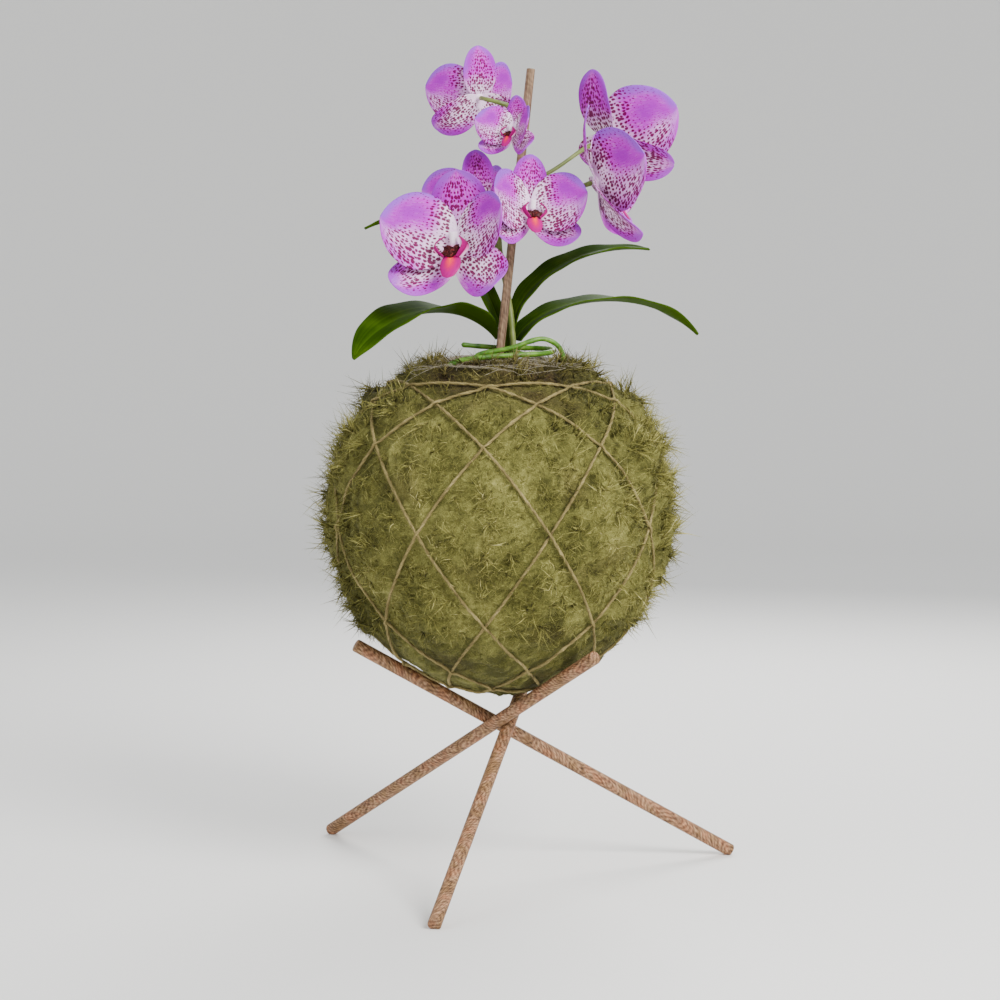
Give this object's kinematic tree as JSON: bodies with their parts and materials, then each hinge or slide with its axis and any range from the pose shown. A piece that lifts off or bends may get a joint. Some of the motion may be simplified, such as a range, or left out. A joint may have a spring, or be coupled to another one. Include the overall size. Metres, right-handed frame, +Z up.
{
  "type": "kokedama moss ball plant",
  "caption": "Kokedama: a spotted moth orchid planted in a moss ball netted with twine, its flower spike beside a support stick, standing on a tripod of crossed wooden dowels.",
  "frame": {"origin": "on the floor, under the middle of the whole object's bounding box", "axes": "+Z up; -Y towards the viewer of the plant's show side; +X to that viewer's right"},
  "size_m": [0.2622, 0.2588, 0.5018],
  "materials": {
    "soil": "damp potting mix of bark and peat, matt",
    "moss": "dry olive moss, fibrous and matt",
    "jute": "twisted jute twine, matt",
    "dowel_wood": "bare reddish brown wood with wavy grain, satin",
    "stick_wood": "bare pale brown wood, matt",
    "leaf": "thick waxy leaf, glossy",
    "root": "fleshy aerial root, satin",
    "stem": "flower stem, satin",
    "petal": "lilac and white petal with dark magenta spots, soft satin",
    "lip": "magenta and orange-red lip, waxy"
  },
  "bodies": {
    "root": {"soil_core": "soil", "moss_jacket": "moss", "twine_net": "jute", "dowel_right_foot": "dowel_wood", "dowel_left_foot": "dowel_wood", "dowel_front_foot": "dowel_wood", "support_stick": "stick_wood", "crown": "leaf", "leaf_left": "leaf", "leaf_right_low": "leaf", "leaf_right_high": "leaf", "leaf_left_high": "leaf", "root_arch": "root", "root_loop": "root", "root_short": "root", "flower_spike": "stem", "bloom_front_left": "petal", "bloom_front_left_lip": "lip", "bloom_front_right": "petal", "bloom_front_right_lip": "lip", "bloom_top_left": "petal", "bloom_top_left_lip": "lip", "bloom_top_small": "petal", "bloom_top_small_lip": "lip", "bloom_right_high": "petal", "bloom_right_high_lip": "lip", "bloom_right_low": "petal", "bloom_right_low_lip": "lip", "bloom_behind": "petal", "bloom_behind_lip": "lip"}
  },
  "joints": []
}
